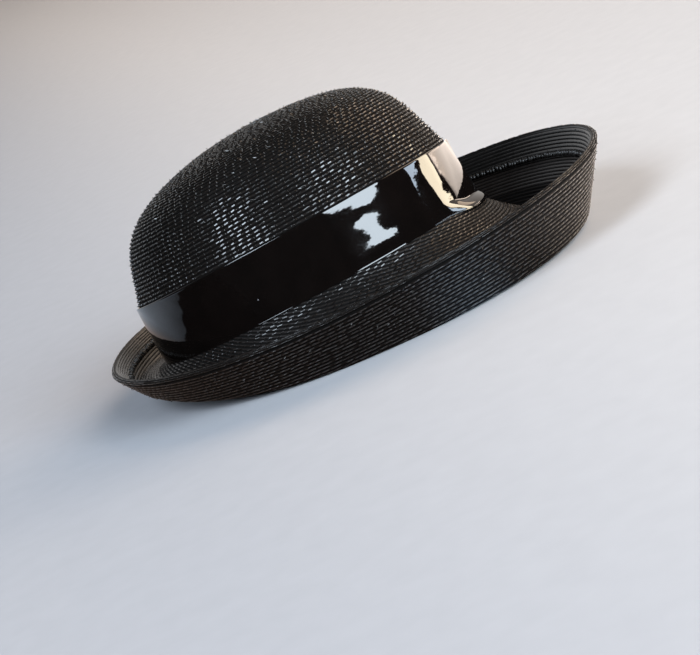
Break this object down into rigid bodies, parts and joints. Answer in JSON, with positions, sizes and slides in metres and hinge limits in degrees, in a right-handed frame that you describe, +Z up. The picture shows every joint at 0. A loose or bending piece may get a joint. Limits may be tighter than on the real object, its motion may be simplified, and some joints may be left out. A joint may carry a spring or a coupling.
{
  "type": "breton hat",
  "caption": "Domed breton hat of sewn glossy black straw with an upturned brim, a faced rim and a black patent band.",
  "frame": {"origin": "on the surface that the hat rests on, under the middle of the rim's outline", "axes": "+Z up, -Y to the hat's front, -X to the wearer's right"},
  "size_m": [0.2786, 0.3049, 0.1259],
  "materials": {
    "straw": "glossy black straw braid, sewn in overlapping rows",
    "facing_straw": "the same black straw braid, folded in over the rim",
    "patent": "black patent with a mirror gloss and slight waves"
  },
  "bodies": {
    "root": {"crown": "straw", "brim": "straw", "brim_facing": "facing_straw", "hat_band": "patent"}
  },
  "joints": []
}
